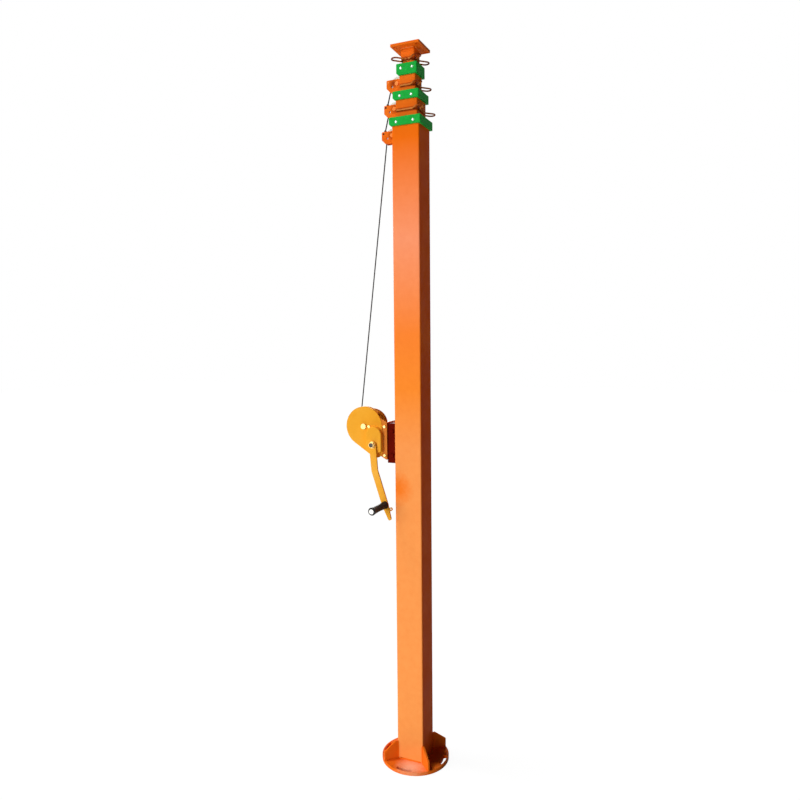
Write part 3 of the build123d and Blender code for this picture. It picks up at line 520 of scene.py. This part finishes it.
def strands(line, side):
    """A core and six helices round a line: P + q (u cos f + v sin f), f turning once in a lay length."""
    strand_radius = rope_radius / 3
    u, v = square_to(line, side)
    run = distance_along(line)
    tubes = [rings(line, side, rope_radius * core_share, strand_columns)]
    for k in range(strand_count):
        turn = (2 * np.pi * (k / strand_count + run / rope_lay))[:, None]
        out = u * np.cos(turn) + v * np.sin(turn)
        tubes.append(rings(line + (rope_radius - strand_radius) * out, out, strand_radius, strand_columns))
    return tubes


def arc_controls(centre, radius, first, sweep):
    """Control points whose spline keeps to a circle: ends on it, others on the polygon round it."""
    count = max(3, int(np.ceil(abs(sweep) / arc_step)))
    step = sweep / count
    middle = first + step * (np.arange(count) + 0.5)
    angles = np.concatenate([[first], middle, [first + sweep]])
    far = np.full(count + 2, radius / np.cos(step / 2))
    far[[0, -1]] = radius
    x, z = centre[0] + far * np.cos(angles), centre[1] + far * np.sin(angles)
    return np.column_stack([x, np.zeros(count + 2), z])


def middle_of(node):
    """Centre (x, z) of a CAD node's box, in millimetres."""
    low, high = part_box(node)
    centre = (low + high) / (2 * MM)
    return np.array([centre.x, centre.z])


pulley = {n: middle_of(f"sheave_{n}") for n in (1, 2, 3)}
pulley_radius = 22.5
drum = np.array([-173.0, 1222.0])
winding_radius = 37.0
across = np.array([[0.0, 1.0, 0.0]])
print("pulleys at", {n: p.round(1).tolist() for n, p in pulley.items()})

# %% [markdown]
# The lead runs from the drum to the first pulley, and touches both circles on the same side. Two short
# runs rise from sockets on the brackets to the pulleys above. They are fixed where they lie at rest and
# ride on no stage.

# %% Ropes from the drum and the sockets up to the pulleys
rope_lengths = {}
anchor = {2: np.array([-99.0, 2242.0]), 3: np.array([-89.0, 2329.0])}
socket_reach = 14.0
stage = {1: "mast_base", 2: "stage_2", 3: "stage_3", 4: "stage_4"}
# Millimetres from ring to ring: less where a run bends and on the short rises, most inside the tubes.
ring_spacing = {"lead": 2.2, "rise": 1.2, "bend": 1.4, "drop": 4.0, "drum": 1.6}


def flat(point):
    """A point (x, z) as (x, 0, z)."""
    return np.array([point[0], 0.0, point[1]])


def straight(a, b):
    """Control points of a straight run."""
    return np.linspace(flat(a), flat(b), 3)


def rope_piece(name, controls, node, body, spacing):
    """Strands along the spline that these control points shape, in place of a CAD rope."""
    line, length = route(controls, spacing)
    rope_lengths[name] = length
    piece = tubes_piece(name, strands(line, across), body, "wire_rope")
    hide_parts(node)
    return piece


gap = pulley[1] - drum
lead_turn = np.arctan2(gap[1], gap[0]) - np.arcsin((winding_radius - pulley_radius) / np.linalg.norm(gap))
lead_side = np.array([-np.sin(lead_turn), np.cos(lead_turn)])
arrival = {1: pulley[1] + pulley_radius * lead_side}
lead = straight(drum + winding_radius * lead_side, arrival[1])
rope_piece("rope_lead", lead, "rope_1_outside", "mast_base", ring_spacing["lead"])
for n in (2, 3):
    gap = pulley[n] - anchor[n]
    far = np.linalg.norm(gap)
    turn = np.arctan2(gap[1], gap[0]) + np.arcsin(pulley_radius / far)
    way = np.array([np.cos(turn), np.sin(turn)])
    arrival[n] = anchor[n] + way * np.sqrt(far**2 - pulley_radius**2)
    first = anchor[n] + way * socket_reach
    rise = straight(first, arrival[n])
    piece = rope_piece(f"rope_{n}_rise", rise, f"rope_{n}_outside", None, ring_spacing["rise"])
    piece.data.materials[0] = oiled_rope
    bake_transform(piece)
print("outside runs, mm:", {name: round(length) for name, length in rope_lengths.items()})

# %% [markdown]
# Over each pulley the rope follows its pitch circle, then drops inside the tube to the foot of the next
# one. That foot rises with the mast, while the inside run rides on the stage of its own pulley.

# %% Ropes over the pulleys and down inside the tubes
for n in (1, 2, 3):
    spoke = arrival[n] - pulley[n]
    first = np.arctan2(spoke[1], spoke[0])
    bend = arc_controls(pulley[n], pulley_radius, first, -first)
    rope_piece(f"rope_{n}_bend", bend, f"rope_{n}_wrap", stage[n], ring_spacing["bend"])
    low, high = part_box(f"rope_{n}_inside")
    x = (low.x + high.x) / (2 * MM)
    drop = straight((x, high.z / MM), (x, low.z / MM))
    piece = rope_piece(f"rope_{n}_drop", drop, f"rope_{n}_inside", stage[n], ring_spacing["drop"])
    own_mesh(piece)
print("rope pieces so far:", len(rope_lengths))

# %% [markdown]
# The rope lies on the drum in five even loops. A stack of rings would look much the same, but a rope is
# one length, so it is a helix: it goes round at one radius while it walks along the drum by a little more
# than the rope's own width in each turn.

# %% Rope on the drum
winding_loops = 5
winding_pitch = 5.0
tail = 4.5
loop_points = 12
start_turn = np.arctan2(lead_side[1], lead_side[0])
count = winding_loops * loop_points
step = 2 * np.pi / loop_points
turns = start_turn + np.concatenate([[0], step * (np.arange(count) + 0.5), [step * count]])
far = np.full(count + 2, winding_radius / np.cos(step / 2))
far[[0, -1]] = winding_radius
walk = winding_pitch * (turns - start_turn) / (2 * np.pi)
walk[1] = 0.0
helix = np.column_stack([drum[0] + far * np.cos(turns), walk, drum[1] + far * np.sin(turns)])
last = helix[-1] + tail * unit(helix[-1] - helix[-2])
line, length = route(np.vstack([helix, last]), ring_spacing["drum"])
rope_lengths["rope_on_drum"] = length
spokes = line - flat(drum)
spokes[:, 1] = 0
winding = tubes_piece("rope_on_drum", strands(line, unit(spokes)), "drum", "wire_rope")
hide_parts("rope_winding")
print("all runs, mm:", {name: round(length) for name, length in rope_lengths.items()})

# %% [markdown]
# ## Pulleys
# The pulleys show pale between their brackets, so they are nylon in its natural colour, turned on a
# lathe. A lathe makes its shape from one profile, and a Screw modifier could spin one here. A grid does
# it too, so each pulley is a loop of points spun about its bolt: a hub, a thinner web, and a rim with a
# round groove and broken edges.

# %% Nylon pulleys
pulley_rim = 24.5
pulley_half_width = 6.0
pulley_hub_radius = 9.0
pulley_web_radius = 17.0
pulley_web_half = 3.5
pulley_bore = 4.05
groove_radius = 2.6
groove_points = 13
edge_break = 0.6
pulley_columns = 72
sharp_angle = np.radians(35)


def pulley_wheel(centre):
    """A closed profile of (r, y) spun about +Y at a centre (x, z). Groove: r = R - g sin t, y = -g cos t."""
    t = np.linspace(0, np.pi, groove_points)
    groove = np.column_stack([pulley_radius - groove_radius * np.sin(t), -groove_radius * np.cos(t)])
    flank = np.array([
        (pulley_bore, pulley_half_width), (pulley_hub_radius, pulley_half_width),
        (pulley_hub_radius, pulley_web_half), (pulley_web_radius, pulley_web_half),
        (pulley_web_radius, pulley_half_width), (pulley_rim - edge_break, pulley_half_width),
        (pulley_rim, pulley_half_width - edge_break), (pulley_rim, groove_radius + edge_break),
        (pulley_rim - edge_break, groove_radius),
    ])
    profile = np.vstack([flank * (1, -1), groove, flank[::-1]])
    r, y = profile[:, :1], profile[:, 1:]
    a = np.linspace(0, 2 * np.pi, pulley_columns, endpoint=False)
    return np.stack([centre[0] + r * np.sin(a), y + 0 * a, centre[1] + r * np.cos(a)], axis=-1)


for n in (1, 2, 3):
    grids = [pulley_wheel(pulley[n])]
    wheel = tubes_piece(f"wheel_of_pulley_{n}", grids, f"pulley_{n}", "white_nylon", loop=True)
    wheel.data.set_sharp_from_angle(angle=sharp_angle)
    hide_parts(f"sheave_{n}")
print("pulley wheels:", len(pulley))

# %% [markdown]
# ## Welds
# The steelwork is welded, then painted, so each seam is a bead under the same paint. A hand-laid
# bead is a row of small overlapping puddles: its radius swells and falls every 2 mm or so, and the
# puddles curve back at their edges. A bump on the tube couldn't stand out from the corner that a bead
# fills, so each bead is a mesh of rings along its seam.

# %% Weld beads
bead_spacing = 0.6
bead_columns = 10
bead_ripple = 2.4
bead_swell = 0.14
bead_bow = 0.35
bead_blunt = 0.05
wave_share, wave_radian = (0.06, 0.04), (7.3, 2.9)  # of the radius, and mm along the seam to a radian


def bead(a, b, radius):
    """Rings along a line from a to b: r (1 - w + w |sin(pi s / p)|), with swell w and ripple p, bowed back
    by a share of r. Two slow waves in r keep the bead from looking machined, and its ends are rounded."""
    a, b = np.asarray(a, float), np.asarray(b, float)
    length = np.linalg.norm(b - a)
    s = np.linspace(0, length, max(8, int(length / bead_spacing)))
    ends = np.clip(np.minimum(s, length - s) / radius, bead_blunt, 1)
    wobble = 1 + wave_share[0] * np.sin(s / wave_radian[0] + a.sum())
    wobble += wave_share[1] * np.sin(s / wave_radian[1])
    puddles = 1 - bead_swell + bead_swell * np.abs(np.sin(np.pi * s / bead_ripple))
    r = radius * np.sqrt(ends) * wobble * puddles
    way = (b - a) / length
    upright = abs(way[2]) >= 0.9
    side = np.array([1.0, 0.0, 0.0]) if upright else np.array([0.0, 0.0, 1.0])
    u = unit(side - side.dot(way) * way)
    v = np.cross(way, u)
    turn = np.linspace(0, 2 * np.pi, bead_columns, endpoint=False)
    ring = u * np.cos(turn)[:, None] + v * np.sin(turn)[:, None]
    bow = -bead_bow * radius * np.cos(2 * turn)[None, :, None] * way
    return a + s[:, None, None] * way + r[:, None, None] * ring[None] + bow * ends[:, None, None]


def turned(points, quarter):
    """Points turned about the mast by quarter turns: x cos t - y sin t, x sin t + y cos t."""
    c, s = np.cos(quarter * np.pi / 2), np.sin(quarter * np.pi / 2)
    x, y, z = np.moveaxis(points, -1, 0)
    return np.stack([c * x - s * y, s * x + c * y, z], axis=-1)


def box_mm(node):
    """Lowest and highest corner of a CAD node, in millimetres."""
    low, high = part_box(node)
    return np.array(low) / MM, np.array(high) / MM


tube_half = {n: box_mm("outer_tube" if n == 1 else f"tube_{n}")[1][1] for n in (1, 2, 3, 4)}
print("tube half widths", {n: round(float(h), 2) for n, h in tube_half.items()})

# %% [markdown]
# The outer tube is welded to the foot plate along its four sides, with a gusset at each corner. Beads
# also run up the winch mount and the first bracket. Each line lies in a corner, a fraction of a millimetre
# off the faces, so that about a third of the bead shows and the rest is buried in the steel.

# %% Welds of the base, the first bracket and the winch mount
flange_top = box_mm("base_flange")[1][2]
gusset_top = box_mm("base_gussets")[1][2]
gusset_half = 3.0
gusset_far = 121.0
tube_corner = 5.0
off_tube, off_plate, off_cheek = 0.4, 0.3, 0.2
foot_bead, gusset_bead, bracket_bead, mount_bead = 4.0, 2.0, 1.8, 2.2
bracket_foot_gap, bracket_top_gap = 1.0, 3.0
mount_gap_up, mount_gap_across = 2.0, 3.0
outer = tube_half[1]
seams = []
for quarter in range(4):
    x, y = outer + off_tube, outer - tube_corner - foot_bead
    seams.append(turned(bead((x, -y, flange_top), (x, y, flange_top), foot_bead), quarter))
    near = (outer - tube_corner) * np.sqrt(2) + tube_corner
    for side in (-1, 1):
        y = side * (gusset_half + off_plate)
        start, end = near + gusset_bead, gusset_far - gusset_bead
        foot = bead((start, y, flange_top), (end, y, flange_top), gusset_bead)
        start, end = flange_top + gusset_bead, gusset_top - gusset_bead
        stand = bead((near, y, start), (near, y, end), gusset_bead)
        seams += [turned(foot, quarter + 0.5), turned(stand, quarter + 0.5)]


def bracket_seams(n):
    """Upright beads where a bracket's cheeks meet the tube's -X face."""
    low, high = box_mm(f"bracket_{n}")
    x = -tube_half[n] - off_plate
    start, end = low[2] + bracket_foot_gap, box_mm(f"collar_{n}")[0][2] - bracket_top_gap
    sides = (low[1] - off_cheek, high[1] + off_cheek)
    return [bead((x, y, start), (x, y, end), bracket_bead) for y in sides]


low, high = box_mm("winch_mount")
x, top = -outer - off_plate, high[2] + off_plate
for y in (low[1] - off_plate, high[1] + off_plate):
    seams.append(bead((x, y, low[2] + mount_gap_up), (x, y, high[2] - mount_gap_up), mount_bead))
seams.append(bead((x, low[1] + mount_gap_across, top), (x, high[1] - mount_gap_across, top), mount_bead))
seams += bracket_seams(1)
tubes_piece("welds_of_base", seams, "mast_base", "orange_paint")
print("beads on the base:", len(seams))

# %% [markdown]
# On the moving stages, beads hold the brackets and the legs of the rods. At the top, the sleeve is welded
# to the plate above it and to the inmost tube below. These beads stand proud and get the paler coat, a
# painted highlight.

# %% Welds of the moving stages
eye_bend = 13.5
eye_axis = 2.55
eye_bead = 2.0
eye_proud, eye_sunk = 0.8, 0.6
bend_gap, middle_gap, edge_gap = 3.0, 4.0, 7.0
plate_bead, sleeve_bead = 2.4, 2.2
head_inset = 4.0


def eye_seams(n, half):
    """Beads over the guy eyes' legs: two short legs meet on a face, a long one has it alone. They stop
    short of the rod's bend, of the face's middle and of its edge."""
    high = box_mm(f"guy_eyes_{n}")[1]
    root = half + eye_axis - eye_bend * np.sqrt(2) - bend_gap
    both = [(middle_gap, root), (-root, -middle_gap)]
    back, front = [(-root, half - edge_gap)], [(edge_gap - half, root)]
    x, z = half + eye_proud, high[2] - eye_sunk
    faces = (both, back, [], front) if n < 4 else (both,) * 4
    return [
        turned(bead((x, first, z), (x, last, z), eye_bead), quarter)
        for quarter, runs in enumerate(faces) for first, last in runs
    ]


low, high = box_mm("head_socket")
head_half = high[0]
seams_of = {n: bracket_seams(n) + eye_seams(n, tube_half[n]) for n in (2, 3)}
seams_of[4] = eye_seams(4, head_half)
for quarter in range(4):
    for half, z, radius in ((head_half, high[2], plate_bead), (tube_half[4], low[2], sleeve_bead)):
        x, y = half + off_tube, half - head_inset
        seams_of[4].append(turned(bead((x, -y, z), (x, y, z), radius), quarter))
for n, seams in seams_of.items():
    welds = tubes_piece(f"welds_of_stage_{n}", seams, stage[n], "orange_paint")
    # The paler coat: a painted highlight on the beads.
    welds.data.materials[0] = painted_highlight_coat
print("beads on the stages:", {n: len(seams) for n, seams in seams_of.items()})

# %% [markdown]
# ## Collar screws
# Button-head screws hold the collars. Their hexagon sockets could be cut with a boolean, but a grid
# keeps the faces clean: its rings climb the shank, cross the seat, follow the dome and go down into the
# socket, where they turn from circles to hexagons.

# %% Button-head screws
screw_head_radius = 5.0
screw_head_height = 3.0
screw_shank_radius = 2.95
screw_shank_length = 11.0
socket_across = 4.0
socket_rim_radius = 2.5
socket_depth = 1.6
screw_columns = 24
dome_rings = 7


def button_screw(x, face, z):
    """Rings about a line along +Y. Dome: r = R sin t, h = H - R + R cos t. Socket: r = (w / 2) / cos a."""
    dome = (screw_head_radius**2 + screw_head_height**2) / (2 * screw_head_height)
    t = np.linspace(np.arcsin(screw_head_radius / dome), np.arcsin(socket_rim_radius / dome), dome_rings)
    round_part = np.concatenate([[screw_shank_radius] * 2, dome * np.sin(t)])
    height = np.concatenate([[-screw_shank_length, 0.0], screw_head_height - dome + dome * np.cos(t)])
    height = np.append(height, [height[-1], height[-1] - socket_depth])
    a = np.linspace(0, 2 * np.pi, screw_columns, endpoint=False)
    sixth = np.pi / 3
    hexagon = socket_across / 2 / np.cos((a + sixth / 2) % sixth - sixth / 2)
    radius = np.vstack([np.outer(round_part, np.ones(screw_columns)), hexagon, hexagon])
    level = np.outer(height, np.ones(screw_columns))
    return np.stack([x + radius * np.sin(a), face + level, z + radius * np.cos(a)], axis=-1)


for n in (1, 2, 3):
    low, high = box_mm(f"collar_{n}_screws")
    face = high[1] - screw_head_height
    level = (low[2] + high[2]) / 2
    grids = []
    for x in (low[0] + screw_head_radius, high[0] - screw_head_radius):
        grids += [turned(button_screw(x, face, level), quarter) for quarter in (0, 2)]
    piece = tubes_piece(f"screws_of_collar_{n}", grids, stage[n], "zinc_steel")
    piece.data.materials[0] = screw_zinc
    piece.data.set_sharp_from_angle(angle=sharp_angle)
    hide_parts(f"collar_{n}_screws")
print("screws to a collar:", len(grids))

# %% [markdown]
# ## Light and floor
# The photograph has one strong light at the front left: the mast's front is bright and its right
# side is deep in shade. A broad sun, low like a window, gives that evenly from head to foot. A second
# comes up from the floor in front, as off white paper, and lights what faces down. The floor casts no
# shadow, so it lets that one through. A third, high on the left, lights what faces up, a fourth lifts
# the back, and the world adds a little glow. Camera, mirror and glass rays see a white world and a
# white floor, while the light that bounces off the floor is that of pale concrete.

# %% Light
world_glow = 0.02
white_light = linear("#FFFFFF")
suns = {  # azimuth, elevation, strength, width
    "key": (-20, 12, 2.2, 36),
    "floor_glow": (-20, -60, 1.3, 40),
    "top": (-78, 62, 1.6, 20),
    "back_fill": (-150, 18, 1.4, 30),
}


def seen_directly(tree):
    """1 for camera, mirror and glass rays, 0 for the rays that carry light from face to face."""
    rays = add(tree, "LightPath").outputs
    plain = add(tree, "Math", (rays["Is Camera Ray"], rays["Is Glossy Ray"]), operation="MAXIMUM")
    return add(tree, "Math", (plain, rays["Is Transmission Ray"]), operation="MAXIMUM")


def sun(name, azimuth, elevation, strength, width):
    """A far lamp: azimuth is counted from the front towards the mast's right, width is its angle."""
    data = bpy.data.lights.new(name, "SUN")
    data.energy = strength
    data.angle = np.radians(width)
    lamp = bpy.data.objects.new(name, data)
    bpy.context.scene.collection.objects.link(lamp)
    a, e = np.radians(azimuth), np.radians(elevation)
    towards = Vector((np.sin(a) * np.cos(e), -np.cos(a) * np.cos(e), np.sin(e)))
    lamp.rotation_euler = towards.to_track_quat("Z", "Y").to_euler()


world = bpy.data.worlds.new("studio")
bpy.context.scene.world = world
world.use_nodes = True
tree = world.node_tree
tree.nodes.clear()
glow = add(tree, "Background", {"Color": white_light, "Strength": world_glow})
white = add(tree, "Background", {"Color": white_light, "Strength": 1.0})
add(tree, "OutputWorld", (add(tree, "MixShader", (seen_directly(tree), glow, white)),))
for name, numbers in suns.items():
    sun(name, *numbers)
print("lamps:", list(suns))

# %% [markdown]
# The floor is one large flat face. It could be a grey sheet under a bright lamp, but then the lamp would
# also change the mast, so rays that come straight from the camera see it mostly as a white glow, and a
# little of the mast's shadow stays on it.

# %% Floor
floor_half = 20.0
floor_bounce = "#BEBBB8"
floor_strength = 1.05
floor_share = 0.90
corners = [(x * floor_half, y * floor_half, 0) for x, y in ((-1, -1), (1, -1), (1, 1), (-1, 1))]
floor_mesh = bpy.data.meshes.new("floor")
floor_mesh.from_pydata(corners, [], [(0, 1, 2, 3)])
floor = bpy.data.objects.new("floor", floor_mesh)
bpy.context.scene.collection.objects.link(floor)
material = bpy.data.materials.new("white_floor")
material.use_nodes = True
tree = material.node_tree
tree.nodes.clear()
direct = seen_directly(tree)
tone = add(tree, "MixRGB", (direct, linear(floor_bounce), white_light))
matt = add(tree, "BsdfDiffuse", (tone,))
bright = add(tree, "Emission", {"Color": white_light, "Strength": floor_strength})
share = add(tree, "Math", (direct, floor_share), operation="MULTIPLY")
add(tree, "OutputMaterial", (add(tree, "MixShader", (share, matt, bright)),))
floor_mesh.materials.append(material)
floor.visible_shadow = False
print("floor", 2 * floor_half, "m wide")

# %% [markdown]
# ## View
# The new pieces stay inside the CAD model's box, and colours show through the Standard view.

# %% Finish
bpy.context.scene.view_settings.view_transform = "Standard"
bpy.context.view_layer.update()
